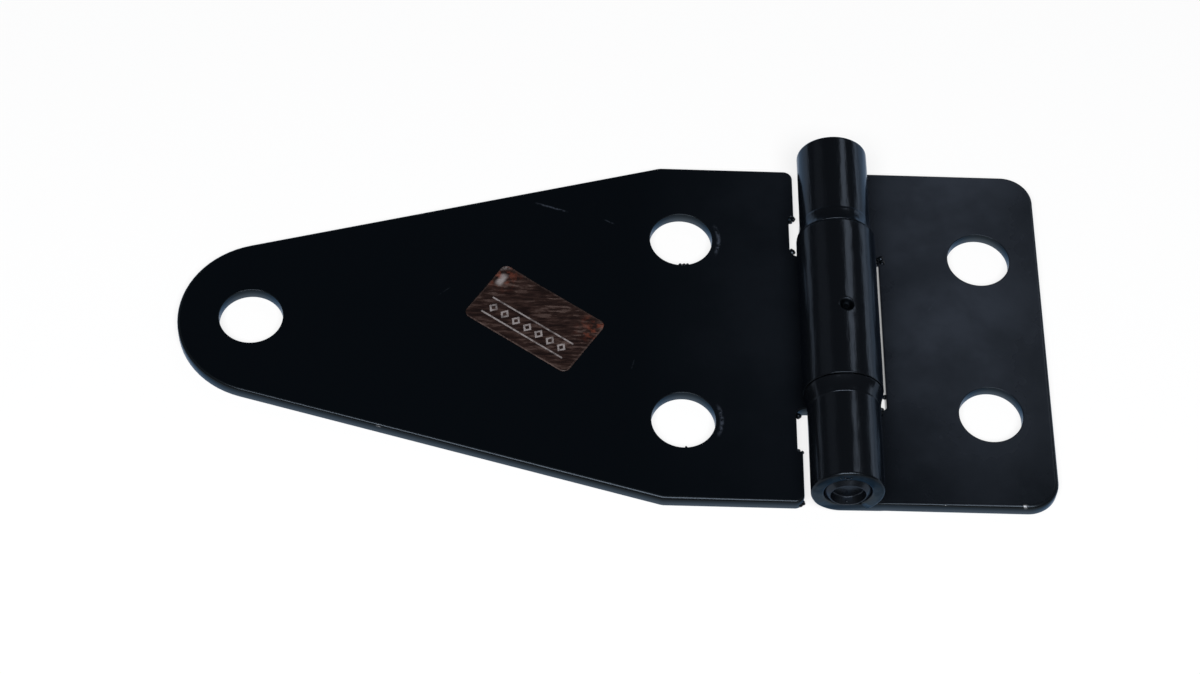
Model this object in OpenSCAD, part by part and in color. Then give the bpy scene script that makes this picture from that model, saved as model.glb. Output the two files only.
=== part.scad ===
// Bonnet hinge: two stamped leaves with rolled eyes on one pin.
// Millimetres. +Y runs along the pin and +Z is up, with the hinge lying open and flat.
// The origin is midway between the body leaf's two bolt holes, on its seating face.

/* [Sheet] */
// Thickness of the steel sheet of both leaves
sheet_t = 2.3; // [1.6:0.1:2.8]
// Width of both leaves along the pin
leaf_w = 70; // [62:1:90]
// Diameter of the bolt holes in both leaves
bolt_hole_d = 11.1; // [6:0.1:12]

/* [Bonnet leaf] */
// Pin axis to the end of the rounded tip
bonnet_len = 115.3; // [100:0.1:150]
// Radius of the rounded tip
tip_r = 15.9; // [13:0.1:22]
// Pin axis to the shoulder where the taper starts
shoulder_x = 30.8; // [24:0.1:45]
// Radius that softens each shoulder
shoulder_r = 3; // [1:0.5:8]
// Gap between the outer eyes and the edge that faces them
edge_clearance = 0.38; // [0.3:0.02:2]
// Radius of the two corners on that edge
bonnet_corner_r = 1.6; // [0.5:0.1:4]
// How much deeper that edge is cut beside the middle eye
relief_depth = 0.9; // [0.5:0.1:2]
// Half of the span over which it is cut deeper
relief_half = 24.8; // [20:0.1:28]
// Radius at the root of the tongue that becomes the middle eye
tongue_root_r = 1.6; // [0.5:0.1:2]
// Pin axis to the line of the two bonnet bolts
bonnet_hole_x = 27.1; // [20:0.1:40]
// Distance between the two bonnet bolts
bonnet_hole_pitch = 38.2; // [26:0.1:46]
// End of the tip to the tip bolt
tip_hole_inset = 12.8; // [11:0.1:30]

/* [Body leaf] */
// Pin axis to the outer end of the leaf
body_len = 36.9; // [34:0.1:60]
// Radius of the two outer corners
body_corner_r = 5.5; // [2:0.5:8]
// Pin axis to the line of the two body bolts
body_hole_x = 26.2; // [22:0.1:27]
// Distance between the two body bolts
body_hole_pitch = 32.8; // [20:0.1:44]
// Clearance between the middle eye and the floor of the slot that it turns in
slot_clearance = 1.1; // [0.8:0.1:4]
// Radius in the corners of that slot
slot_corner_r = 1; // [0.5:0.1:2]

/* [Pivot] */
// Diameter of the hinge pin
pin_d = 8; // [6:0.1:8.4]
// How far each end of the pin stands out of the outer eyes
pin_proud = 1.3; // [0.1:0.1:2]
// Bevel on both ends of the pin
pin_bevel = 0.85; // [0.5:0.05:1.2]
// Width of the flat rim between that bevel and the recess in each end
pin_rim = 0.15; // [0.1:0.05:0.4]
// Depth of the recess
pin_recess = 1.5; // [0.5:0.1:3]
// How much narrower the floor of the recess is than its mouth, on each side
pin_recess_draft = 0.2; // [0.1:0.05:0.5]
// Wall of the bush in the middle eye
bush_wall = 0.65; // [0.5:0.05:1.2]
// Length of the middle eye and its bush
eye_w = 32.4; // [24:0.1:36]
// Gap between neighbouring eyes along the pin
eye_gap = 0.25; // [0.15:0.05:0.6]
// Gap between the end of each rolled curl and its own leaf
seam_gap = 0.2; // [0.15:0.05:1]
// Length over which the body leaf steps up to its eyes
step_len = 6.5; // [6:0.1:8]
// Diameter of the mark where the middle eye is staked to its bush
stake_d = 2.4; // [1.5:0.1:3]
// Diameter of the floor of the stake mark
stake_floor_d = 0.8; // [0.5:0.1:1.2]
// Depth of the stake mark
stake_depth = 1; // [0.5:0.1:1.3]
// Place of the stake mark along the pin
stake_y = -2; // [-10:0.5:10]
// Lean of the stake mark from the crest of the eye, towards the body leaf
stake_lean = 4; // [-30:1:30]

/* [Fits] */
// Radial clearance of the bush that turns on the pin
run_gap = 0.05; // [0.02:0.01:0.1]
// Radial gap left where an eye grips the pin or the bush
grip_gap = 0.02; // [0.01:0.01:0.04]

/* [Hidden] */
$fn = 96;
cut = 1;
spill = 1.2;
pin_r = pin_d / 2;
bush_bore_r = pin_r + run_gap;
bush_r = bush_bore_r + bush_wall;
middle_r = bush_r + grip_gap + sheet_t;
outer_r = pin_r + grip_gap + sheet_t;
eye_step = middle_r - outer_r;
slot_x = middle_r + slot_clearance;
slot_half = eye_w / 2 + eye_gap;
bonnet_edge_x = outer_r + edge_clearance;
relief_x = bonnet_edge_x + relief_depth;
tip_x = bonnet_len - tip_r;
tip_hole_x = bonnet_len - tip_hole_inset;
taper = atan2(leaf_w / 2, tip_x - shoulder_x) - asin(tip_r / norm([tip_x - shoulder_x, leaf_w / 2]));
paint = [0.04, 0.045, 0.06];
steel = [0.45, 0.46, 0.48];
bronze = [0.55, 0.40, 0.22];

function unit(v) = v / norm(v);
function turned(p, angle) = [p.x * cos(angle) - p.y * sin(angle), p.x * sin(angle) + p.y * cos(angle)];
function mirrored(points) = [for (i = [len(points) - 1:-1:0]) [points[i].x, -points[i].y]];

// Sliver between a corner at b and the arc of radius r that touches both of its sides,
// reaching past those sides so that it cuts or fills the corner cleanly
module corner_sliver(a, b, c, r) {
    u = unit(a - b);
    v = unit(c - b);
    half = acos(u * v) / 2;
    out = -unit(u + v) * r / sin(half);
    translate(b - out) difference() {
        polygon([[0, 0], spill * (out + u * r / tan(half)), spill * out, spill * (out + v * r / tan(half))]);
        circle(r);
    }
}

// The same shape on both sides of the leaf's centre line
module both_sides() {
    children();
    mirror([0, 1, 0]) children();
}

// Round hole through the sheet
module bolt_hole(x, y) {
    translate([x, y, -cut]) cylinder(d = bolt_hole_d, h = sheet_t + 2 * cut);
}

// Sheet rolled up about the Y axis into an eye, with its seam above the strip that it is rolled from.
// The strip runs out along +X, drops as it goes and then lies flat to its end.
module rolled_sheet(outside_r, width, end_x, run, drop = 0) {
    inside_r = outside_r - sheet_t;
    lean = atan2(drop, run);
    reach = norm([run, drop]);
    curl = asin((inside_r - seam_gap) / outside_r);
    rotate([90, lean, 0]) linear_extrude(width, center = true) difference() {
        union() {
            circle(outside_r);
            polygon([
                [0, -outside_r],
                [reach + outside_r * tan(lean / 2), -outside_r],
                turned([end_x, -outside_r - drop], lean),
                turned([end_x, -inside_r - drop], lean),
                [reach + inside_r * tan(lean / 2), -inside_r],
                [0, -inside_r]
            ]);
        }
        circle(inside_r);
        polygon([[0, 0], [inside_r / tan(curl), -inside_r], [0, -inside_r]]);
    }
}

// Flat outline of the bonnet leaf, with x measured from the pin axis
module bonnet_outline() {
    tongue = [0, eye_w / 2];
    root = [relief_x, eye_w / 2];
    relief = [relief_x, relief_half];
    edge = [bonnet_edge_x, relief_half];
    corner = [bonnet_edge_x, leaf_w / 2];
    shoulder = [shoulder_x, leaf_w / 2];
    apex = [shoulder_x + leaf_w / 2 / tan(taper), 0];
    side = [tongue, root, relief, edge, corner, shoulder];
    difference() {
        union() {
            polygon(concat(side, [apex], mirrored(side)));
            both_sides() corner_sliver(tongue, root, relief, tongue_root_r);
        }
        both_sides() {
            corner_sliver(edge, corner, shoulder, bonnet_corner_r);
            corner_sliver(corner, shoulder, apex, shoulder_r);
        }
        corner_sliver(shoulder, apex, [shoulder.x, -shoulder.y], tip_r);
    }
}

// Outline of the body leaf from above, with the slot between its two eyes
module body_outline() {
    eye = [-outer_r - cut, slot_half];
    slot = [slot_x, slot_half];
    end = [-outer_r - cut, leaf_w / 2];
    corner = [body_len, leaf_w / 2];
    side = [slot, eye, end, corner];
    difference() {
        union() {
            polygon(concat(side, mirrored(side)));
            both_sides() corner_sliver(eye, slot, [slot_x, 0], slot_corner_r);
        }
        both_sides() corner_sliver(end, corner, [body_len, 0], body_corner_r);
    }
}

// Tapered pit left by the punch that staked the middle eye, standing up from the pin axis
module stake_pit() {
    flare = (stake_d - stake_floor_d) / stake_depth;
    translate([0, 0, middle_r - stake_depth])
        cylinder(d1 = stake_floor_d, d2 = stake_d + flare * cut, h = stake_depth + cut);
}

// Long leaf with the middle eye, made away from the pin and turned to the bonnet's side
module bonnet_leaf() {
    color(paint) translate([-body_hole_x, 0, 0]) rotate([0, 0, 180]) difference() {
        union() {
            linear_extrude(sheet_t) bonnet_outline();
            translate([0, 0, middle_r]) rolled_sheet(middle_r, eye_w, relief_x, bonnet_edge_x);
        }
        for (side = [-1, 1]) bolt_hole(bonnet_hole_x, side * bonnet_hole_pitch / 2);
        bolt_hole(tip_hole_x, 0);
        translate([0, -stake_y, middle_r]) rotate([0, -stake_lean, 0]) stake_pit();
    }
}

// Short leaf rolled up into two outer eyes, then trimmed to its outline
module body_leaf() {
    color(paint) translate([-body_hole_x, 0, 0]) difference() {
        intersection() {
            translate([0, 0, middle_r])
                rolled_sheet(outer_r, leaf_w + 2 * cut, body_len + cut, step_len, eye_step);
            translate([0, 0, -cut]) linear_extrude(2 * middle_r + 2 * cut) body_outline();
        }
        for (side = [-1, 1]) bolt_hole(body_hole_x, side * body_hole_pitch / 2);
    }
}

// Pin gripped by the two outer eyes, with a bevel and a recess at both ends
module hinge_pin() {
    end = leaf_w / 2 + pin_proud;
    neck = end - pin_bevel;
    floor = end - pin_recess;
    face_r = pin_r - pin_bevel;
    mouth_r = face_r - pin_rim;
    floor_r = mouth_r - pin_recess_draft;
    half = [[0, floor], [floor_r, floor], [mouth_r, end], [face_r, end], [pin_r, neck]];
    color(steel) translate([-body_hole_x, 0, middle_r]) rotate([90, 0, 0]) rotate_extrude()
        polygon(concat(half, mirrored(half)));
}

// Plain bush gripped by the middle eye, turning on the pin
module pivot_bush() {
    color(bronze) translate([-body_hole_x, 0, middle_r]) rotate([90, 0, 0]) difference() {
        cylinder(r = bush_r, h = eye_w, center = true);
        cylinder(r = bush_bore_r, h = eye_w + 2 * cut, center = true);
    }
}

bonnet_leaf();
body_leaf();
hinge_pin();
pivot_bush();
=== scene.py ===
import math
import bmesh
import bpy
from mathutils import Matrix, Vector


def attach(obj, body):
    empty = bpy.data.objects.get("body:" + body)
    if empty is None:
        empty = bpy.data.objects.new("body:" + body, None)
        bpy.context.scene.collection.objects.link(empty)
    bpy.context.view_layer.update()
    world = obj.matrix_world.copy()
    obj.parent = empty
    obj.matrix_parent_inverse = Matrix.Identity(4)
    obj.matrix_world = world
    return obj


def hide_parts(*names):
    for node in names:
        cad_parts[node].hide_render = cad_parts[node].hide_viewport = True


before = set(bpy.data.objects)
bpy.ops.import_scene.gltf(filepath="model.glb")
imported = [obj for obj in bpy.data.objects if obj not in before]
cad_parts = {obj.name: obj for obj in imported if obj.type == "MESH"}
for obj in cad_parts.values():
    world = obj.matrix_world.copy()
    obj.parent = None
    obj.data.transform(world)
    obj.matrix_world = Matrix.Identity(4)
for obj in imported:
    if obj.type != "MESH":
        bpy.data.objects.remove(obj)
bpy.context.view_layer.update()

mm = 0.001


def addObject(name, data):
    obj = bpy.data.objects.new(name, data)
    bpy.context.scene.collection.objects.link(obj)
    return obj


print("frame loaded:", ", ".join(sorted(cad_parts)))


# camera, fitted to the hinge's own edges
cameraSpec = {
    "target": (-67.64, -0.907, 0.0),  # mm, on the floor under the middle of the picture
    "distance": 515.2,
    "azimuth": -3.404,
    "elevation": 55.892,
    "roll": 4.367,
    "lens": 87.99,
    "sensor": 36,
    "clip": (0.01, 20),
}


def makeCamera(spec):
    az, el, roll = (math.radians(spec[k]) for k in ("azimuth", "elevation", "roll"))
    back = Vector((math.sin(az) * math.cos(el), -math.cos(az) * math.cos(el), math.sin(el)))
    side = Vector((math.cos(az), math.sin(az), 0))
    up = back.cross(side)
    side, up = (side * math.cos(roll) + up * math.sin(roll), up * math.cos(roll) - side * math.sin(roll))
    data = bpy.data.cameras.new("camera")
    data.sensor_width = spec["sensor"]
    data.lens = spec["lens"]
    data.clip_start, data.clip_end = spec["clip"]
    obj = addObject("camera", data)
    turn = Matrix((side, up, back)).transposed().to_4x4()
    spot = (Vector(spec["target"]) + back * spec["distance"]) * mm
    obj.matrix_world = Matrix.Translation(spot) @ turn
    bpy.context.scene.camera = obj


makeCamera(cameraSpec)
print("camera placed")


# one wire of a node tree; sums on wires add Math nodes to the tree
class Wire:
    def __init__(self, tree, socket=None):
        self.tree = tree
        self.socket = socket

    def make(self, kind, settings=None, values=None, out=0):
        node = self.tree.nodes.new(kind)
        for key, value in (settings or {}).items():
            setattr(node, key, value)
        for key, value in (values or {}).items():
            if isinstance(value, Wire):
                self.tree.links.new(value.socket, node.inputs[key])
            else:
                node.inputs[key].default_value = value
        return Wire(self.tree, node.outputs[out]) if len(node.outputs) else node

    def sibling(self, name):
        return Wire(self.tree, self.socket.node.outputs[name])

    def sums(self, operation, *terms):
        return self.make("ShaderNodeMath", {"operation": operation}, dict(enumerate(terms)))

    def __add__(self, other):
        return self.sums("ADD", self, other)

    def __radd__(self, other):
        return self.sums("ADD", other, self)

    def __sub__(self, other):
        return self.sums("SUBTRACT", self, other)

    def __rsub__(self, other):
        return self.sums("SUBTRACT", other, self)

    def __mul__(self, other):
        return self.sums("MULTIPLY", self, other)

    def __rmul__(self, other):
        return self.sums("MULTIPLY", other, self)

    def __truediv__(self, other):
        return self.sums("DIVIDE", self, other)

    def __gt__(self, other):
        return self.sums("GREATER_THAN", self, other)

    def __abs__(self):
        return self.sums("ABSOLUTE", self)

    def atMost(self, other):
        return self.sums("MINIMUM", self, other)

    def atLeast(self, other):
        return self.sums("MAXIMUM", self, other)

    def root(self):
        return self.sums("SQRT", self)

    def ease(self, low, high, first=0.0, last=1.0):
        settings = {"interpolation_type": "SMOOTHSTEP"}
        values = {"Value": self, "From Min": low, "From Max": high, "To Min": first, "To Max": last}
        return self.make("ShaderNodeMapRange", settings, values)

    def fade(self, low, high):
        return self.ease(low, high, 1.0, 0.0)

    def split(self):
        x = self.make("ShaderNodeSeparateXYZ", {}, {0: self}, "X")
        return x, x.sibling("Y"), x.sibling("Z")

    def join(self, x, y, z):
        return self.make("ShaderNodeCombineXYZ", {}, {0: x, 1: y, 2: z})


def distance(a, b):
    return (a * a + b * b).root()


# materials
def newMaterial(name):
    mat = bpy.data.materials.new(name)
    mat.use_nodes = True
    mat.node_tree.nodes.clear()
    return mat, Wire(mat.node_tree)


def surface(start, values):
    shader = start.make("ShaderNodeBsdfPrincipled", {}, values)
    start.make("ShaderNodeOutputMaterial", {}, {"Surface": shader})


def placeInMm(start):
    place = start.make("ShaderNodeTexCoord", out="Object")
    return start.make("ShaderNodeVectorMath", {"operation": "SCALE"}, {0: place, 3: 1 / mm})


def noise(start, place, scale, detail=3.0, rough=0.5):
    return start.make("ShaderNodeTexNoise", {},
                      {"Vector": place, "Scale": scale, "Detail": detail, "Roughness": rough}, "Fac")


def blendColours(start, factor, first, second):
    return start.make("ShaderNodeMix", {"data_type": "RGBA"}, {0: factor, 6: first, 7: second}, 2)


# black paint over steel; its painted sheen (a lighter tone on the tops that stands in for reflected light),
# scratches and chips lie where the leaves show them
paintSpec = {
    "colour": (0.0016, 0.0024, 0.0034, 1),
    # painted sheen on the tops, standing in for reflected light; the same colour serves scratches and rubs
    "sheenAndWear": (0.044, 0.053, 0.072, 1),
    "steel": (0.30, 0.31, 0.33, 1),
    "rolled": (0.025, 0.03, 0.038, 1),    # burnished paint on the eyes
    "cut": (0.032, 0.039, 0.045, 1),      # thin paint on the sheet's cut faces
    "cutLowReflection": (0.062, 0.074, 0.086, 1),   # painted reflection of the floor, lighter along their lower rims
    "cutShadeAndMottle": (0.008, 0.01, 0.012, 1),   # painted shade, darker along their upper rims and on top of the eyes' ends; also random mottling on the eyes' ends
    "tint": (0.5, 0.6, 0.75, 1),
    "gloss": 0.17,
    "lowerRim": (0.3, 1.5),               # heights in mm over which a finish comes or goes, including the painted reflection and painted shade on the cut faces
    "upperRim": (1.1, 1.9, 2.5, 3.3),
    "topFace": (1.9, 2.28, 2.6, 3.4),
    "eyes": (3.0, 5.0),
    "eyeTops": (6.5, 10.5),
    "stakeRim": (11.5, 12.5),
    # where the painted sheen lies on the tops, standing in for reflected light
    "sheenRises": [(-64.0, -34.0, 0.18), (-27.0, -7.0, 0.82)],  # x where it starts and is full, and its share
    "sheenEnd": (0.0, 10.7, 1.0, 0.5),     # x over which it thins out, share before and after
    "sheenSide": (-36.0, 0.0, 0.3, 1.0),   # the same in y, from the near side to the middle
    "slot": (-18.08, 15.0, 16.0),         # x of the slot's glossy floor, y where it starts and stops fading
    "stake": (-25.7, -2.0, 1.5),          # painted shade in the stake mark: x, y, radius
    "rubs": [(-53.3, 19.1, 6.75), (-53.3, -19.1, 6.6)],  # crescents beside two holes: x, y, radius
    "scratches": [  # middle x and y, half length, half width in mm, turn in degrees, strength
        (-76.6, 25.4, 3.4, 0.25, -17.0, 0.6),
        (-66.3, 22.6, 1.3, 0.2, -25.0, 0.3),
        (-95.2, 6.4, 1.5, 0.15, 40.0, 0.12),
        (-62.0, -8.0, 1.2, 0.15, 75.0, 0.12),
        (-9.0, 6.0, 1.6, 0.2, 55.0, 0.15),
        (2.0, -4.0, 1.2, 0.2, -35.0, 0.12),
    ],
    "chips": [  # x, y, size
        (-105.7, -22.3, 0.8), (-100.2, 23.3, 0.8), (-62.5, -34.8, 0.6), (4.6, -34.6, 0.5), (-70.3, 34.7, 0.6),
    ],
}


def blackPaint(name, spec, seed):
    mat, start = newMaterial(name)
    spot = placeInMm(start)
    x, y, z = spot.split()
    moved = start.make("ShaderNodeVectorMath", {"operation": "ADD"}, {0: spot, 1: (seed, seed * 2, seed * 3)})
    edge = start.make("ShaderNodeAttribute", {"attribute_name": "edge"}, out="Fac")
    cut = start.make("ShaderNodeAttribute", {"attribute_name": "cut"}, out="Fac")
    slotX, slotFrom, slotTo = spec["slot"]
    cut = cut * (1 - abs(x - slotX).fade(0.3, 0.6) * abs(y).fade(slotFrom, slotTo))
    cloud = noise(start, moved, 0.075, 4.0, 0.6)
    grain = noise(start, moved, 1.3, 2.0)
    waves = noise(start, moved, 0.4, 2.0)
    onTop = z.ease(*spec["topFace"][:2]) * z.fade(*spec["topFace"][2:])
    rolled = z.ease(*spec["eyes"])
    # painted sheen: the tops lighter towards the hinge and away from the near edge, standing in for reflected
    # light
    sheenAndWear = sum(x.ease(first, full, 0.0, share) for first, full, share in spec["sheenRises"])
    sheenAndWear = sheenAndWear * x.ease(*spec["sheenEnd"]) * y.ease(*spec["sheenSide"])
    sheenAndWear = sheenAndWear * cloud.ease(0.3, 0.7, 0.66, 1.25) * onTop
    marks = 0.0
    broken = noise(start, moved, 1.6, 3.0, 0.7).ease(0.38, 0.6)
    for cx, cy, length, width, turn, strength in spec["scratches"]:
        c, s = math.cos(math.radians(turn)), math.sin(math.radians(turn))
        along = abs((x - cx) * c + (y - cy) * s)
        across = abs((y - cy) * c - (x - cx) * s)
        marks = along.ease(length * 0.5, length, strength, 0.0) * across.fade(width * 0.3, width) + marks
    for cx, cy, radius in spec["rubs"]:
        dx, dy = x - cx, y - cy
        away = distance(dx, dy)
        crescent = away.ease(radius - 0.5, radius) * away.fade(radius, radius + 0.5)
        marks = crescent * (dx - abs(dy)).ease(2.0, 5.0, 0.0, 0.75) + marks
    marks = marks * broken * onTop
    rub = noise(start, moved, 0.8, 6.0, 0.75).ease(0.64, 0.72) * rolled * 0.35
    bare = (noise(start, moved, 0.42, 4.0, 0.7) * edge).ease(0.66, 0.7)
    for cx, cy, size in spec["chips"]:
        chip = distance(x - cx, y - cy).fade(size * 0.4, size)
        bare = bare.atLeast(chip * edge.ease(0.2, 0.5) * broken)
    colour = blendColours(start, (sheenAndWear * 0.36 + marks + rub).atMost(1.0), spec["colour"], spec["sheenAndWear"])
    stakeX, stakeY, stakeRadius = spec["stake"]
    # painted shade: the stake mark's pit keeps the plain black paint, without the eyes' lighter tone, and is
    # rougher
    stakeShade = distance(x - stakeX, y - stakeY).fade(stakeRadius * 0.7, stakeRadius) * z.ease(*spec["stakeRim"])
    colour = blendColours(start, rolled * (1 - stakeShade) * 0.85, colour, spec["rolled"])
    # painted shade on the upper half of the eyes' end faces, with random mottling on the eyes
    shadeAndMottle = z.ease(*spec["eyeTops"]) * 0.85 + waves.ease(0.42, 0.62, 0.0, 0.45) * rolled
    cutColour = blendColours(start, shadeAndMottle.atMost(1.0), spec["cut"], spec["cutShadeAndMottle"])
    # painted reflection: the cut faces lighter along their lower rims, standing in for the floor they reflect
    cutColour = blendColours(start, z.fade(*spec["lowerRim"]), cutColour, spec["cutLowReflection"])
    # painted shade: a darker band along the cut faces' upper rims
    upperRim = z.ease(*spec["upperRim"][:2]) * z.ease(*spec["upperRim"][2:], 0.65, 0.0)
    cutColour = blendColours(start, upperRim, cutColour, spec["cutShadeAndMottle"])
    colour = blendColours(start, cut, colour, cutColour)
    colour = blendColours(start, (marks + rub).atMost(1.0) * rolled * 0.5, colour, spec["sheenAndWear"])
    colour = blendColours(start, bare, colour, spec["steel"])
    rough = spec["gloss"] + sheenAndWear * 0.2 + rolled * 0.03 + cut * 0.1 + stakeShade * 0.3 + (marks + bare + rub) * 0.2
    drawn = start.make("ShaderNodeVectorMath", {"operation": "MULTIPLY"}, {0: moved, 1: (1.0, 0.16, 1.0)})
    rolls = noise(start, drawn, 0.9)  # long waves along the eyes
    height = waves + grain * 0.1 + rolls * rolled * 3.4 - bare
    bump = start.make("ShaderNodeBump", {}, {"Strength": 0.3, "Distance": 0.00005, "Height": height})
    metal = cut.atLeast(rolled * 0.85).atLeast(bare * 0.8)
    surface(start, {
        "Base Color": colour, "Roughness": rough, "Metallic": metal, "IOR": 1.4,
        "Specular Tint": spec["tint"], "Normal": bump,
    })
    return mat


leafPaint = blackPaint("leafPaint", paintSpec, 11.0)
lumpPaint = blackPaint("lumpPaint", dict(paintSpec, sheenAndWear=paintSpec["colour"]), 23.0)
pinLook = {"colour": (0.002, 0.0028, 0.0038, 1), "gloss": 0.24, "scratches": [], "rubs": [], "chips": []}
pinPaint = blackPaint("pinPaint", dict(paintSpec, **pinLook), 37.0)


# turned bronze of the bush
bronzeSpec = {"colour": (0.42, 0.29, 0.13, 1), "stain": (0.26, 0.16, 0.07, 1), "gloss": 0.28}


def bronze(name, spec):
    mat, start = newMaterial(name)
    spot = placeInMm(start)
    turned = start.make("ShaderNodeMapping", {}, {"Vector": spot, "Scale": (0.02, 0.9, 0.02)})
    lines = noise(start, turned, 3.0, 3.0)
    stain = noise(start, spot, 0.12, 3.0)
    colour = blendColours(start, stain.ease(0.35, 0.7), spec["colour"], spec["stain"])
    bump = start.make("ShaderNodeBump", {}, {"Strength": 0.2, "Distance": 0.00004, "Height": lines})
    surface(start, {
        "Base Color": colour, "Roughness": spec["gloss"] + lines * 0.16, "Metallic": 1.0, "Normal": bump,
    })
    return mat


bushBronze = bronze("bushBronze", bronzeSpec)
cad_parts["pivot_bush"].data.materials.clear()
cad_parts["pivot_bush"].data.materials.append(bushBronze)
print("paint and bronze mixed")


# Geometry Nodes: a tree with named inputs, run once and kept as a plain mesh
def newTree(name, inputs):
    tree = bpy.data.node_groups.new(name, "GeometryNodeTree")
    tree.interface.new_socket("Geometry", in_out="INPUT", socket_type="NodeSocketGeometry")
    for label, kind in inputs.items():
        tree.interface.new_socket(label, in_out="INPUT", socket_type="NodeSocket" + kind)
    tree.interface.new_socket("Geometry", in_out="OUTPUT", socket_type="NodeSocketGeometry")
    start = Wire(tree)
    entry = start.make("NodeGroupInput")
    return start, {label: entry.sibling(label) for label in ["Geometry", *inputs]}


def endTree(start, mesh, material):
    mesh = start.make("GeometryNodeSetShadeSmooth", {}, {"Geometry": mesh, "Shade Smooth": True})
    mesh = start.make("GeometryNodeRealizeInstances", {}, {"Geometry": mesh})
    mesh = start.make("GeometryNodeSetMaterial", {}, {"Geometry": mesh, "Material": material})
    start.make("NodeGroupOutput", {}, {"Geometry": mesh})
    return start.tree


def runTree(name, tree, values, blank=None):
    obj = addObject(name + "Blank", blank or bpy.data.meshes.new(name + "Blank"))
    mod = obj.modifiers.new("nodes", "NODES")
    mod.node_group = tree
    for item in tree.interface.items_tree:
        if item.in_out == "INPUT" and item.name in values:
            mod[item.identifier] = values[item.name]
    graph = bpy.context.evaluated_depsgraph_get()
    mesh = bpy.data.meshes.new_from_object(obj.evaluated_get(graph))
    bpy.data.objects.remove(obj)
    mesh.name = name
    piece = addObject(name, mesh)
    print(name, "made,", len(mesh.polygons), "faces")
    return piece


# sheet blanks: flat outlines with eased edges, before the eyes are rolled
sheetSpec = {
    "thickness": 2.3,
    "width": 70.0,
    "pinX": -26.2,
    "pinZ": 7.02,
    "holeRadius": 5.55,
    "holeTurns": 96,
    "holeWear": 0.6,
    "nearEdge": 0.7,    # rounding of the upper outline on the side of the near eye
    "farEdge": 0.3,
    "innerEdge": 0.3,   # the same along the hinge
    "holeEdge": 0.15,
    "lowerEdge": 0.15,
    "flatRim": 0.12,    # flat strip inside each eased edge, keeps the faces flat
}


def roundedPath(before, corners, after, lead=0.35):
    points = []
    chain = [Vector(p[:2]) for p in (before, *corners, after)]
    halves = [(chain[i - 1] - chain[i]).angle(chain[i + 1] - chain[i]) / 2 for i in range(1, len(chain) - 1)]
    reaches = [0.0] + [c[2] / math.tan(half) for c, half in zip(corners, halves)] + [0.0]
    for i, (x, y, radius, edge) in enumerate(corners, start=1):
        here, half, reach = chain[i], halves[i - 1], reaches[i]
        back, ahead = chain[i - 1] - here, chain[i + 1] - here
        leads = [min(lead, 0.3 * (arm.length - reach - other))
                 for arm, other in ((back, reaches[i - 1]), (ahead, reaches[i + 1]))]
        back, ahead = back.normalized(), ahead.normalized()
        centre = here + (back + ahead).normalized() * radius / math.sin(half)
        first = here + back * reach
        turn = math.pi - 2 * half
        sign = 1 if back.cross(ahead) < 0 else -1
        steps = max(3, math.ceil(turn / math.radians(5)))
        points.append((*(first + back * leads[0]), edge))
        for k in range(steps + 1):
            arm = (first - centre).copy()
            arm.rotate(Matrix.Rotation(sign * turn * k / steps, 2))
            points.append((*(centre + arm), edge))
        points.append((*(here + ahead * (reach + leads[1])), edge))
    return points


def tongueRun(rows, end, columns, edge):
    first, last = columns[0], columns[-1]
    run = [(u, first, edge) for u in rows] + [(end, first, edge)]
    run += [(end, y, edge) for y in columns[1:-1]]
    run += [(end, last, edge)] + [(u, last, edge) for u in reversed(rows)]
    return run


def inset(points, depths):
    moved = []
    for i, (x, y, edge) in enumerate(points):
        here = Vector((x, y))
        a = (here - Vector(points[i - 1][:2])).normalized()
        b = (Vector(points[(i + 1) % len(points)][:2]) - here).normalized()
        na, nb = Vector((-a.y, a.x)), Vector((-b.y, b.x))
        moved.append(here + (na + nb) * depths[i] / (1 + na.dot(nb)))
    return moved


# depth, height, wear and cut share of each step from the lower face round to the upper one
def edgeProfile(spec, top, low, out=0.0):
    rim, thick = spec["flatRim"], spec["thickness"]
    angles = [math.radians(a) for a in (0, 15, 30, 45, 60, 75, 90)]
    arc = [(math.sin(a), math.cos(a), math.sin(2 * a)) for a in angles]
    steps = [(low + rim, 0.0, 0.0, 0.0)]
    steps += [(low * (1 - s), low * (1 - c), 0.5 * wear, s) for s, c, wear in arc]
    steps += [(top * (1 - c), thick - top * (1 - s), wear, c) for s, c, wear in arc]
    steps.append((top + rim, thick, 0.0, 0.0))
    return [(depth - out, *rest) for depth, *rest in steps]


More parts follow.
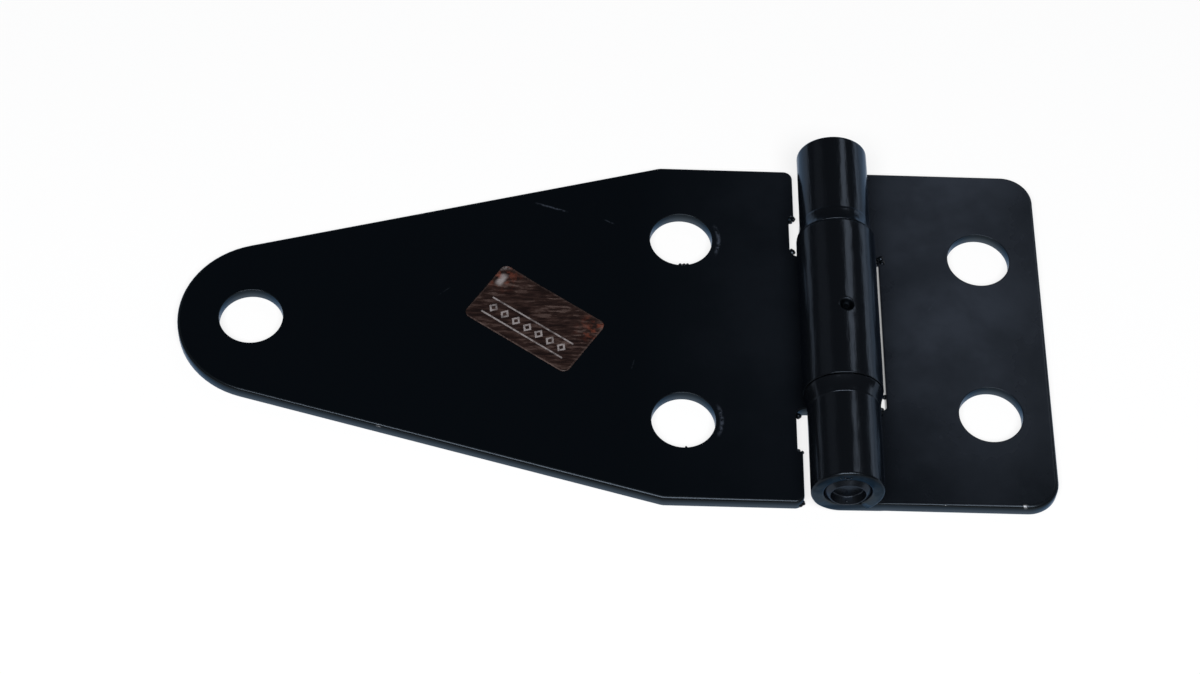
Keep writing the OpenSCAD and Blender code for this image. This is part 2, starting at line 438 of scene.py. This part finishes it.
def sheetBlank(name, spec, outline, tongues, holes, edgesAt):
    mesh = bmesh.new()
    wear = mesh.verts.layers.float.new("edge")
    cut = mesh.verts.layers.float.new("cut")
    profiles = [edgeProfile(spec, *edgesAt(x, y, edge)) for x, y, edge in outline]
    loops = []
    for k in range(len(profiles[0])):
        flat = inset(outline, [p[k][0] for p in profiles])
        loop = [mesh.verts.new((p.x, p.y, profiles[i][k][1])) for i, p in enumerate(flat)]
        for i, vert in enumerate(loop):
            vert[wear], vert[cut] = profiles[i][k][2:]
        loops.append(loop)
    rings = [loops]
    turns = [2 * math.pi * k / spec["holeTurns"] for k in range(spec["holeTurns"])]
    for x, y in holes:
        stack = []
        for depth, height, rub, side in edgeProfile(spec, spec["holeEdge"], spec["lowerEdge"]):
            radius = spec["holeRadius"] + depth
            circle = [(x + radius * math.cos(a), y - radius * math.sin(a), height) for a in turns]
            loop = [mesh.verts.new(p) for p in circle]
            for vert in loop:
                vert[wear], vert[cut] = rub * spec["holeWear"], side
            stack.append(loop)
        rings.append(stack)
    for stack in rings:
        for lower, upper in zip(stack, stack[1:]):
            for i in range(len(lower)):
                mesh.faces.new((lower[i - 1], lower[i], upper[i], upper[i - 1]))
    for side, height in ((0, 0.0), (-1, spec["thickness"])):
        rim = [(a, b) for stack in rings for a, b in zip(stack[side], stack[side][1:] + stack[side][:1])]
        skip = set()
        extra = []
        for begin, rows, columns in tongues:
            loop = loops[side]
            count, across = len(rows), len(columns)
            grid = []
            for i in range(count):
                first, last = loop[begin + i], loop[begin + 2 * count + across - 1 - i]
                inner = [mesh.verts.new((rows[i], y, height)) for y in columns[1:-1]]
                grid.append([first, *inner, last])
            grid.append(loop[begin + count:begin + count + across])
            for low, high in zip(grid, grid[1:]):
                for j in range(across - 1):
                    mesh.faces.new((low[j], low[j + 1], high[j + 1], high[j]))
            run = loop[begin:begin + 2 * count + across]
            skip.update((a, b) for a, b in zip(run, run[1:]))
            extra += list(zip(grid[0], grid[0][1:]))
        edges = []
        for a, b in [pair for pair in rim if pair not in skip] + extra:
            edges.append(mesh.edges.get((a, b)) or mesh.edges.new((a, b)))
        bmesh.ops.triangle_fill(mesh, use_beauty=True, edges=edges, normal=(0, 0, 1))
    bmesh.ops.recalc_face_normals(mesh, faces=mesh.faces)
    data = bpy.data.meshes.new(name)
    mesh.to_mesh(data)
    mesh.free()
    return data


# rolls the tongues of a blank about the pin, and sets the leaf in its place
rollInputs = {
    "Eye radius": "Float", "Lean": "Float", "Bend radius": "Float", "Bend start": "Float",
    "Slope length": "Float", "Pin height": "Float", "Thickness": "Float", "Waviness": "Float",
    "Ragged ends": "Float", "Stake angle": "Float", "Stake along": "Float", "Stake depth": "Float",
    "Turn": "Rotation", "Shift": "Vector", "Material": "Material",
}


def rollTree():
    start, given = newTree("rollEyes", rollInputs)
    u, y, t = start.make("GeometryNodeInputPosition").split()
    lean, bend, bendAt = given["Lean"], given["Bend radius"], given["Bend start"]
    radius, height = given["Eye radius"], given["Pin height"]
    angle = ((bendAt - u) / bend).atLeast(0.0).atMost(lean)
    along = (bendAt - bend * lean - u).atLeast(0.0)
    slope = along.atMost(given["Slope length"])
    roll = (along - given["Slope length"]).atLeast(0.0) / radius
    turned = roll + lean
    outside = (1 - t / given["Thickness"]).atLeast(0.0)
    wave = noise(start, start.join(turned * 0.9, y * 0.22, 0.0), 1.6, 2.0)
    stakeX = (turned - given["Stake angle"]) * radius
    stakeY = y - given["Stake along"]
    pitFloor, pitRim = 0.65, 1.35  # mm from the middle of the stake mark
    pit = distance(stakeX, stakeY).fade(pitFloor, pitRim) * given["Stake depth"]
    # waves on the outside grow over the first 0.4 radians of the roll
    arm = radius - t - outside * roll.atMost(0.4) * 2.5 * (wave * given["Waviness"]) - outside * pit
    flatX = u.atLeast(bendAt) - (bend - t) * start.sums("SINE", angle) - slope * start.sums("COSINE", lean)
    flatZ = bend - (bend - t) * start.sums("COSINE", angle) + slope * start.sums("SINE", lean)
    ringX = 0 - arm * start.sums("SINE", turned)
    ringZ = height - arm * start.sums("COSINE", turned)
    rolled = roll > 0.0
    x = flatX + rolled * (ringX - flatX)
    z = flatZ + rolled * (ringZ - flatZ)
    ragged = noise(start, start.join(turned * 8.0, start.sums("SIGN", y) * 7.0, 0.0), 1.0, 3.0, 0.7)
    spot = start.join(x, y * (1 - rolled * given["Ragged ends"] * ragged), z)
    mesh = start.make("GeometryNodeSetPosition", {}, {"Geometry": given["Geometry"], "Position": spot})
    mesh = start.make("GeometryNodeTransform", {}, {"Geometry": mesh, "Scale": (mm, mm, mm)})
    mesh = start.make("GeometryNodeTransform", {}, {
        "Geometry": mesh, "Rotation": given["Turn"], "Translation": given["Shift"]})
    return endTree(start, mesh, given["Material"])


rollEyes = rollTree()


def spread(first, last, count):
    return [first + (last - first) * k / count for k in range(count)]


# long leaf with the middle eye, laid out away from the pin and turned round at the end
bonnetSpec = {
    "length": 115.3,
    "tipRadius": 15.9,
    "shoulder": 30.8,
    "shoulderRadius": 3.0,
    "edgeX": 6.7,
    "cornerRadius": 1.6,
    "reliefX": 7.6,
    "reliefHalf": 24.8,
    "rootRadius": 1.6,
    "holes": [(27.1, 19.1), (27.1, -19.1), (102.5, 0.0)],
    "eyeRadius": 7.02,
    "eyeWidth": 32.4,
    "eyeEnd": 0.17,       # rounding of the eye's outer rims
    "rollAngle": 310.08,
    "waviness": 0.12,
    "raggedEnds": 0.012,
    "stakeAngle": 176.0,
    "stakeAlong": 2.0,
    "stakeDepth": 0.95,
    "stakeSpan": 0.26,    # radians on each side of the mark that get finer rows
    "flatRows": [5.4, 3.0, 0.4],
    "rowCounts": (56, 22, 42),      # up to the stake mark, round it and after it
    "columnCounts": (10, 20, 12),
}


def makeBonnetLeaf(spec, sheet):
    half, eye = sheet["width"] / 2, spec["eyeWidth"] / 2
    run = spec["length"] - spec["tipRadius"] - spec["shoulder"]
    taper = math.atan2(half, run) - math.asin(spec["tipRadius"] / math.hypot(run, half))
    apex = spec["shoulder"] + half / math.tan(taper)
    inner = sheet["innerEdge"]
    tip = (apex, 0.0, spec["tipRadius"], (sheet["nearEdge"] + sheet["farEdge"]) / 2)

    def sideCorners(side, outer):
        return [
            (spec["reliefX"], side * eye, spec["rootRadius"], inner),
            (spec["reliefX"], side * spec["reliefHalf"], 0.3, inner),
            (spec["edgeX"], side * spec["reliefHalf"], 0.3, inner),
            (spec["edgeX"], side * half, spec["cornerRadius"], (inner + outer) / 2),
            (spec["shoulder"], side * half, spec["shoulderRadius"], outer),
        ]

    corners = sideCorners(-1, sheet["farEdge"]) + [tip] + sideCorners(1, sheet["nearEdge"])[::-1]
    radius, stake = spec["eyeRadius"], math.radians(spec["stakeAngle"])
    full = math.radians(spec["rollAngle"])
    before, after = stake - spec["stakeSpan"], stake + spec["stakeSpan"]
    ends = (0.0, before, after, full)
    angles = [a for run in zip(ends, ends[1:], spec["rowCounts"]) for a in spread(*run)]
    rows = spec["flatRows"] + [-radius * a for a in angles]
    ends = (eye - 1.8, 4.0, 0.0, -eye + 1.0)
    inside = [y for run in zip(ends, ends[1:], spec["columnCounts"]) for y in spread(*run)]
    columns = [eye, eye - 1.0] + inside + [-eye + 1.0, -eye]
    tongue = tongueRun(rows, -radius * full, columns, inner)
    plate = roundedPath(tongue[-1], corners, tongue[0])

    def edgesAt(x, y, edge):
        share = min(max(-x / radius, 0.0), 1.0) if abs(y) > eye - 0.01 else 0.0
        return edge, sheet["lowerEdge"] + (spec["eyeEnd"] - sheet["lowerEdge"]) * share

    blank = sheetBlank("bonnetBlank", sheet, tongue + plate, [(0, rows, columns)], spec["holes"], edgesAt)
    return runTree("bonnetLeaf", rollEyes, {
        "Eye radius": radius, "Lean": 0.0, "Bend radius": 10.0, "Bend start": 0.0, "Slope length": 0.0,
        "Pin height": sheet["pinZ"], "Thickness": sheet["thickness"],
        "Waviness": spec["waviness"], "Ragged ends": spec["raggedEnds"],
        "Stake angle": stake, "Stake along": spec["stakeAlong"], "Stake depth": spec["stakeDepth"],
        "Turn": (0.0, 0.0, math.pi), "Shift": (sheet["pinX"] * mm, 0.0, 0.0), "Material": leafPaint,
    }, blank)


bonnetLeaf = makeBonnetLeaf(bonnetSpec, sheetSpec)


# short leaf with the two outer eyes
bodySpec = {
    "length": 36.9,
    "cornerRadius": 5.5,
    "slotX": 8.12,
    "slotHalf": 16.45,
    "slotRadius": 1.0,
    "holes": [(26.2, 16.4), (26.2, -16.4)],
    "eyeRadius": 6.32,
    "eyeEnd": 0.45,       # rounding at the outer ends of the eyes, outside and in the bore
    "boreEdge": 0.5,
    "nearSpread": 0.95,   # how far rolling has pushed out the end of the near eye
    "spreadFrom": 7.0,    # x on the blank where that starts, and where it is full
    "spreadTo": -6.0,
    "lean": 6.147,
    "bendRadius": 13.0,
    "rollAngle": 307.19,
    "waviness": 0.1,
    "flatRow": 7.0,
    "rowCounts": (6, 5, 96),        # in the bend, on the slope and round the roll
    "columnCount": 12,
}


def makeBodyLeaf(spec, sheet):
    half, slot = sheet["width"] / 2, spec["slotHalf"]
    radius, bend, lean = spec["eyeRadius"], spec["bendRadius"], math.radians(spec["lean"])
    slope = (sheet["pinZ"] - bend + (bend - radius) * math.cos(lean)) / math.sin(lean)
    bendAt = slope * math.cos(lean) + (bend - radius) * math.sin(lean)
    slopeAt = bendAt - bend * lean
    tangent = slopeAt - slope
    full = math.radians(spec["rollAngle"])
    inner = sheet["innerEdge"]
    inBend, onSlope, inRoll = spec["rowCounts"]
    rows = [spec["flatRow"]] + spread(bendAt, slopeAt, inBend) + spread(slopeAt, tangent, onSlope)
    rows += [tangent - radius * a for a in spread(0.0, full, inRoll)]
    end = tangent - radius * full
    inside = spread(half - 2.4, slot + 0.8, spec["columnCount"])
    farColumns = [half, half - 1.6] + inside + [slot + 0.8, slot]
    nearColumns = [-y for y in farColumns[::-1]]
    far = tongueRun(rows, end, farColumns, inner)
    near = tongueRun(rows, end, nearColumns, inner)
    slotPath = roundedPath(far[-1], [
        (spec["slotX"], slot, spec["slotRadius"], inner),
        (spec["slotX"], -slot, spec["slotRadius"], inner)], near[0], 0.1)
    plate = roundedPath(near[-1], [
        (spec["length"], -half, spec["cornerRadius"], sheet["nearEdge"]),
        (spec["length"], half, spec["cornerRadius"], sheet["farEdge"])], far[0])

    def edgesAt(x, y, edge):
        onEnd = abs(y) > half - 0.01
        share = min(max((tangent - x) / radius, 0.0), (x - end) / 2.0 + 0.2, 1.0) if onEnd else 0.0
        low = sheet["lowerEdge"]
        spreadRun = (spec["spreadFrom"] - x) / (spec["spreadFrom"] - spec["spreadTo"])
        out = spec["nearSpread"] * min(max(spreadRun, 0.0), 1.0) if y < 0.01 - half else 0.0
        return edge + (spec["boreEdge"] - edge) * share, low + (spec["eyeEnd"] - low) * share, out

    outline = far + slotPath + near + plate
    tongues = [(0, rows, farColumns), (len(far) + len(slotPath), rows, nearColumns)]
    blank = sheetBlank("bodyBlank", sheet, outline, tongues, spec["holes"], edgesAt)
    return runTree("bodyLeaf", rollEyes, {
        "Eye radius": radius, "Lean": lean, "Bend radius": bend, "Bend start": bendAt, "Slope length": slope,
        "Pin height": sheet["pinZ"], "Thickness": sheet["thickness"],
        "Waviness": spec["waviness"], "Ragged ends": 0.0,
        "Stake angle": 0.0, "Stake along": 0.0, "Stake depth": 0.0,
        "Turn": (0.0, 0.0, 0.0), "Shift": (sheet["pinX"] * mm, 0.0, 0.0), "Material": leafPaint,
    }, blank)


bodyLeaf = makeBodyLeaf(bodySpec, sheetSpec)


# pin profile, with a bevel and a recess at each end
pinSpec = {
    "radius": 4.0,
    "half": 36.3,
    "bevel": 0.85,
    "rim": 0.15,
    "recess": 1.5,
    "draft": 0.2,
    "soft": 0.07,        # rounding of the rim's edges
    "softBevel": 0.2,
    "softFloor": 0.25,
    "turns": 96,
}


def pinProfile(spec):
    end = spec["half"]
    face = spec["radius"] - spec["bevel"]
    mouth = face - spec["rim"]
    corners = [
        (mouth - spec["draft"], end - spec["recess"], spec["softFloor"], 0.0),
        (mouth, end, spec["soft"], 0.0),
        (face, end, spec["soft"], 0.0),
        (spec["radius"], end - spec["bevel"], spec["softBevel"], 0.0),
    ]
    centre = (0.0, end - spec["recess"])
    half = roundedPath(centre, corners, (spec["radius"], 0.0), 0.2)
    return [centre] + [p[:2] for p in half] + [(p[0], -p[1]) for p in half[::-1]] + [(0.0, -centre[1])]


# lathe: turns the blank's points about the pin axis, and can set a second copy the other way round
def turnTree():
    start, given = newTree("turnedRound", {
        "Points": "Int", "Turns": "Int", "Copies": "Int", "Lumps": "Float", "Root radius": "Float",
        "Shift": "Vector", "Material": "Material"})
    seam = given["Turns"] + 1
    mesh = start.make("GeometryNodeMeshGrid", {}, {"Vertices X": given["Points"], "Vertices Y": seam})
    index = start.make("GeometryNodeInputIndex")
    step = start.sums("FLOOR", index / seam)
    angle = (index - step * seam) * (2 * math.pi) / given["Turns"]
    place = start.make("GeometryNodeInputPosition")
    picked = start.make("GeometryNodeSampleIndex", {"data_type": "FLOAT_VECTOR"}, {
        "Geometry": given["Geometry"], "Value": place, "Index": step})
    radius, along, _ = picked.split()
    cosine, sine = start.sums("COSINE", angle), start.sums("SINE", angle)
    ripple = noise(start, start.join(cosine * 6.5, along, sine * 6.5), 1.1, 3.0, 0.6) - 0.5
    swell = ripple * 2 * given["Lumps"]
    radius = radius + (radius - given["Root radius"]).atLeast(0.0) * swell
    spot = start.join(radius * cosine, along, radius * sine)
    mesh = start.make("GeometryNodeSetPosition", {}, {"Geometry": mesh, "Position": spot})
    mesh = start.make("GeometryNodeMergeByDistance", {}, {"Geometry": mesh, "Distance": 0.0005})
    mesh = start.make("GeometryNodeFlipFaces", {}, {"Mesh": mesh})
    points = start.make("GeometryNodeMeshLine", {}, {"Count": given["Copies"], "Offset": (0.0, 0.0, 0.0)})
    turn = start.join(0.0, 0.0, start.make("GeometryNodeInputIndex") * math.pi)
    mesh = start.make("GeometryNodeInstanceOnPoints", {}, {
        "Points": points, "Instance": mesh, "Rotation": turn})
    mesh = start.make("GeometryNodeTransform", {}, {
        "Geometry": mesh, "Translation": given["Shift"], "Scale": (mm, mm, mm)})
    return endTree(start, mesh, given["Material"])


turnedRound = turnTree()


def turnPiece(name, profile, sheet, values):
    blank = bpy.data.meshes.new(name + "Profile")
    blank.from_pydata([(r, along, 0.0) for r, along in profile], [], [])
    shift = (sheet["pinX"] * mm, 0.0, sheet["pinZ"] * mm)
    return runTree(name, turnedRound, dict(values, Points=len(profile), Shift=shift), blank)


hingePin = turnPiece("hingePin", pinProfile(pinSpec), sheetSpec, {
    "Turns": pinSpec["turns"], "Copies": 1, "Lumps": 0.0, "Root radius": 0.0, "Material": pinPaint})


# paint that fills the step at the inner end of each outer eye, as a sloped collar
collarSpec = {
    "slope": [  # radius and distance from the middle, in mm
        (6.2, 19.6), (6.325, 19.3), (6.34, 18.9), (6.39, 18.4), (6.47, 17.9),
        (6.57, 17.4), (6.7, 16.95), (6.82, 16.6), (6.89, 16.42),
    ],
    "face": [(6.89, 16.34), (6.6, 16.29), (6.2, 16.29), (6.2, 19.6)],
    "root": 6.33,   # radius below which the paint has no lumps
    "lumps": 0.16,
    "turns": 240,
}

paintCollars = turnPiece("paintCollars", collarSpec["slope"] + collarSpec["face"], sheetSpec, {
    "Turns": collarSpec["turns"], "Copies": 2, "Lumps": collarSpec["lumps"],
    "Root radius": collarSpec["root"], "Material": leafPaint})


# paint that has run together in corners, on rims and in the slot: x, y, z and size in mm
lumpSpec = {
    "bonnet": [
        (-32.95, 24.6, 1.7, 0.4), (-32.9, 25.5, 1.0, 0.3), (-33.6, 24.2, 1.4, 0.35),
        (-33.3, 17.3, 1.8, 0.5), (-32.8, 15.7, 1.9, 0.4), (-33.4, 18.0, 1.2, 0.4),
        (-33.4, -17.4, 1.7, 0.5), (-32.9, -15.8, 1.8, 0.35), (-33.6, -24.3, 1.4, 0.35),
        (-32.95, -24.7, 1.6, 0.3), (-33.2, -34.1, 0.65, 0.5), (-33.6, -34.55, 0.6, 0.4),
        (-53.5, 13.72, 2.0, 0.3), (-52.8, 13.68, 2.0, 0.34), (-52.2, 13.75, 2.05, 0.25),
        (-52.9, -24.5, 2.0, 0.22),
    ],
    "body": [
        (-17.35, 15.3, 1.9, 0.7), (-17.5, 16.1, 1.85, 0.7), (-17.95, 15.9, 1.7, 0.5),
        (-18.2, 15.3, 1.4, 0.35), (-18.5, 16.2, 1.6, 0.45),
        (-18.3, -13.0, 1.6, 0.42), (-18.0, -15.9, 1.7, 0.45), (-18.5, -16.2, 1.5, 0.45),
        (-19.0, -17.0, 1.9, 0.4), (-19.3, -17.1, 2.5, 0.42),
        (-27.9, -35.9, 11.75, 0.2), (-27.2, -35.9, 11.9, 0.24), (-26.7, -35.9, 11.7, 0.24),
        (-26.2, -35.9, 12.0, 0.2),
        (-26.1, -35.85, 4.4, 0.22), (-18.95, -15.7, 1.6, 0.45), (-19.1, -16.3, 1.5, 0.5),
    ],
}


def lumpTree():
    start, given = newTree("paintLumps", {"Seed": "Int", "Material": "Material"})
    size = start.make("GeometryNodeInputNamedAttribute", {"data_type": "FLOAT"}, {"Name": "size"})
    ball = start.make("GeometryNodeMeshIcoSphere", {}, {"Radius": 1.0, "Subdivisions": 3})
    place = start.make("GeometryNodeInputPosition")
    swell = noise(start, place, 1.1, 2.0) * 0.9 + 0.55
    swollen = start.make("ShaderNodeVectorMath", {"operation": "SCALE"}, {0: place, 3: swell})
    ball = start.make("GeometryNodeSetPosition", {}, {"Geometry": ball, "Position": swollen})
    turn = start.make("FunctionNodeRandomValue", {"data_type": "FLOAT_VECTOR"}, {
        0: (0.0, 0.0, 0.0), 1: (6.28, 6.28, 6.28), "Seed": given["Seed"]})
    lumps = start.make("GeometryNodeInstanceOnPoints", {}, {
        "Points": given["Geometry"], "Instance": ball, "Rotation": turn,
        "Scale": start.join(size, size, size)})
    lumps = start.make("GeometryNodeTransform", {}, {"Geometry": lumps, "Scale": (mm, mm, mm)})
    return endTree(start, lumps, given["Material"])


paintLumps = lumpTree()


def makeLumps(name, places, seed):
    blank = bpy.data.meshes.new(name)
    blank.from_pydata([p[:3] for p in places], [], [])
    sizes = blank.attributes.new("size", "FLOAT", "POINT")
    sizes.data.foreach_set("value", [p[3] for p in places])
    return runTree(name, paintLumps, {"Seed": seed, "Material": lumpPaint}, blank)


bonnetLumps = makeLumps("bonnetLumps", lumpSpec["bonnet"], 3)
bodyLumps = makeLumps("bodyLumps", lumpSpec["body"], 5)


# foil label with a plain pattern of lozenges
labelSpec = {
    "length": 21.8,
    "width": 12.8,
    "thickness": 0.09,
    "corner": 1.3,
    "curl": 0.3,
    "wrinkle": 0.05,
    "place": (-79.2, 1.0),
    "turn": -33.8,
    "brown": (0.032, 0.017, 0.014, 1),
    "dark": (0.011, 0.0062, 0.0058, 1),
    "light": (0.10, 0.07, 0.062, 1),
    "red": (0.30, 0.075, 0.04, 1),
    # pale ink of the print, also the colour of the painted highlight
    "pale": (0.36, 0.33, 0.33, 1),
    "rowAt": -2.3,       # middle of the row of lozenges, across the label
    "rowHalf": 8.4,
    "lineGap": 1.75,     # from there to each line beside it
    "pitch": 2.4,
    # painted highlight: where the pale glint lies on the foil
    "glintAt": (-9.5, 3.4),
    "edgeBand": (0.35, 0.1),   # from the label's rim, where the pale edge starts and is full
}


def foil(name, spec):
    mat, start = newMaterial(name)
    centre = (*spec["place"], 0.0)
    spot = start.make("ShaderNodeMapping", {"vector_type": "TEXTURE"}, {
        "Vector": placeInMm(start), "Location": centre, "Rotation": (0.0, 0.0, math.radians(spec["turn"]))})
    u, v, _ = spot.split()
    stretched = start.make("ShaderNodeVectorMath", {"operation": "MULTIPLY"}, {
        0: placeInMm(start), 1: (0.22, 1.0, 1.0)})
    streak = noise(start, stretched, 1.2, 4.0, 0.65)
    patch = noise(start, spot, 0.22, 3.0)
    crumbs = noise(start, spot, 2.6, 1.0)
    colour = blendColours(start, streak.ease(0.35, 0.62), spec["dark"], spec["brown"])
    threads = streak.ease(0.52, 0.62) * patch.ease(0.36, 0.62, 0.1, 0.8) * v.ease(-6.0, 5.0, 0.6, 1.0)
    colour = blendColours(start, threads, colour, spec["light"])
    # painted reflection: reddish glints near the upper corners
    corners = abs(u).ease(6.0, 10.0) * v.ease(0.5, 3.5) * noise(start, spot, 0.9, 2.0).ease(0.42, 0.68)
    colour = blendColours(start, corners * 0.45, colour, spec["red"])
    # painted highlight: a pale glint near the upper left corner and pale flecks along that corner, standing
    # in for reflected light
    glintU, glintV = spec["glintAt"]
    glint = abs(u - glintU).fade(0.2, 0.9) * abs(v - glintV).fade(0.6, 1.7)
    glint = glint * streak.ease(0.3, 0.6, 0.3, 1.0)
    glint = glint.atLeast((v - u).ease(15.2, 16.4) * crumbs.ease(0.35, 0.65, 0.1, 0.7))
    colour = blendColours(start, glint * 0.8, colour, spec["pale"])
    row, reach, pitch = v - spec["rowAt"], spec["rowHalf"], spec["pitch"]
    lines = abs(abs(row) - spec["lineGap"]).fade(0.1, 0.2) * abs(u).fade(reach, reach + 0.3)
    cell = start.sums("FRACT", (u + 30.0) / pitch) * pitch - pitch / 2
    lozenge = abs(abs(cell) * 0.95 + abs(row) * 0.8 - 0.62).fade(0.16, 0.26)
    motif = lines.atLeast(lozenge * abs(u).fade(reach - 0.1, reach + 0.1) * abs(row).fade(1.2, 1.3))
    worn = noise(start, spot, 0.6, 4.0, 0.7).ease(0.36, 0.55, 0.25, 0.8)
    colour = blendColours(start, motif * worn, colour, spec["pale"])
    halfU, halfV = spec["length"] / 2, spec["width"] / 2
    edge = abs(u).ease(*(halfU - band for band in spec["edgeBand"]))
    edge = edge.atLeast(abs(v).ease(*(halfV - band for band in spec["edgeBand"])))
    colour = blendColours(start, edge * crumbs.ease(0.3, 0.7, 0.1, 0.6), colour, spec["light"])
    bump = start.make("ShaderNodeBump", {}, {"Strength": 0.35, "Distance": 0.00005, "Height": streak + patch})
    surface(start, {
        "Base Color": colour, "Roughness": streak.ease(0.3, 0.7, 0.3, 0.45), "Metallic": 0.25, "IOR": 1.3,
        "Normal": bump,
    })
    return mat


def labelTree():
    start, given = newTree("foilLabel", {
        "Length": "Float", "Width": "Float", "Thickness": "Float", "Corner": "Float", "Curl": "Float",
        "Wrinkle": "Float", "Turn": "Rotation", "Place": "Vector", "Material": "Material"})
    mesh = start.make("GeometryNodeMeshCube", {}, {
        "Size": start.join(given["Length"], given["Width"], given["Thickness"]),
        "Vertices X": 66, "Vertices Y": 40, "Vertices Z": 2})
    place = start.make("GeometryNodeInputPosition")
    x, y, z = place.split()
    halfX, halfY = given["Length"] / 2, given["Width"] / 2
    flatX, flatY = halfX - given["Corner"], halfY - given["Corner"]
    overX, overY = (abs(x) - flatX).atLeast(0.0), (abs(y) - flatY).atLeast(0.0)
    pull = overX.atLeast(overY) / distance(overX, overY).atLeast(0.0001)
    roundX = start.sums("SIGN", x) * (abs(x).atMost(flatX) + overX * pull)
    roundY = start.sums("SIGN", y) * (abs(y).atMost(flatY) + overY * pull)
    lift = (y / halfY - x / halfX).ease(1.3, 2.0) * given["Curl"]
    crease = (z > 0.0) * noise(start, place, 0.35, 3.0) * given["Wrinkle"]
    spot = start.join(roundX, roundY, z + lift + crease)
    mesh = start.make("GeometryNodeSetPosition", {}, {"Geometry": mesh, "Position": spot})
    mesh = start.make("GeometryNodeTransform", {}, {"Geometry": mesh, "Scale": (mm, mm, mm)})
    mesh = start.make("GeometryNodeTransform", {}, {
        "Geometry": mesh, "Rotation": given["Turn"], "Translation": given["Place"]})
    return endTree(start, mesh, given["Material"])


foilLabel = runTree("foilLabel", labelTree(), {
    "Length": labelSpec["length"], "Width": labelSpec["width"], "Thickness": labelSpec["thickness"],
    "Corner": labelSpec["corner"], "Curl": labelSpec["curl"], "Wrinkle": labelSpec["wrinkle"],
    "Turn": (0.0, 0.0, math.radians(labelSpec["turn"])),
    "Place": (labelSpec["place"][0] * mm, labelSpec["place"][1] * mm,
              (sheetSpec["thickness"] + labelSpec["thickness"] / 2) * mm),
    "Material": foil("labelFoil", labelSpec),
})


# what carries each piece, the CAD node that it stands for and where its finish comes from
for piece, body, node, slot in (
    (bonnetLeaf, "bonnet_side", "bonnet_leaf", "leaf_paint"),
    (bodyLeaf, "body_side", "body_leaf", "leaf_paint"),
    (hingePin, "body_side", "hinge_pin", "pin_paint"),
    (paintCollars, "body_side", None, "leaf_paint"),
    (bonnetLumps, "bonnet_side", None, "leaf_paint"),
    (bodyLumps, "body_side", None, "leaf_paint"),
    (foilLabel, "bonnet_side", None, "leaf_paint"),
):
    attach(piece, body)
    if node:
        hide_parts(node)


# floor and light
stageSpec = {
    "floorSize": 6.0,
    "floorDrop": 0.0001,
    "floorColour": (0.95, 0.95, 0.95, 1),
    "shadowShare": 0.25,   # how much of the object's shadow the camera sees
    "world": (0.03, 0.034, 0.044, 1),
    "aim": (-0.06, 0.0, 0.0),
    "lamps": {
        "key": {"place": (-0.1, -0.62, 0.95), "size": (1.0, 0.42), "power": 17.0},
        "farPanel": {"place": (0.31, 0.52, 0.62), "size": (0.15, 0.3), "power": 0.33},
        "rightPanel": {"place": (0.62, 0.42, 0.11), "size": (0.45, 0.16), "power": 0.38},
        "leftPanel": {"place": (-0.54, 0.45, 0.43), "size": (0.24, 0.4), "power": 0.05},
    },
}


def makeStage(spec):
    mat, start = newMaterial("floorWhite")
    path = start.make("ShaderNodeLightPath", out="Is Camera Ray")
    seen = (path + path.sibling("Is Glossy Ray") + path.sibling("Is Transmission Ray")).atMost(1.0)
    plain = start.make("ShaderNodeBsdfDiffuse", {}, {"Color": spec["floorColour"]})
    white = start.make("ShaderNodeEmission", {}, {"Color": (1, 1, 1, 1), "Strength": 1.0})
    mixed = start.make("ShaderNodeMixShader", {}, {0: seen * (1 - spec["shadowShare"]), 1: plain, 2: white})
    start.make("ShaderNodeOutputMaterial", {}, {"Surface": mixed})
    half, drop = spec["floorSize"] / 2, spec["floorDrop"]
    corners = [(x * half, y * half, -drop) for x, y in ((-1, -1), (1, -1), (1, 1), (-1, 1))]
    mesh = bpy.data.meshes.new("floor")
    mesh.from_pydata(corners, [], [(0, 1, 2, 3)])
    mesh.materials.append(mat)
    floor = addObject("floor", mesh)
    world = bpy.data.worlds.new("studio")
    bpy.context.scene.world = world
    world.use_nodes = True
    world.node_tree.nodes["Background"].inputs["Color"].default_value = spec["world"]
    for name, lamp in spec["lamps"].items():
        data = bpy.data.lights.new(name, "AREA")
        data.shape = "RECTANGLE"
        data.size, data.size_y = lamp["size"]
        data.energy = lamp["power"]
        obj = addObject(name, data)
        obj.location = lamp["place"]
        aim = Vector(spec["aim"]) - Vector(lamp["place"])
        obj.rotation_euler = aim.to_track_quat("-Z", "Y").to_euler()
    bpy.context.scene.view_settings.view_transform = "Standard"


makeStage(stageSpec)
print("stage lit")
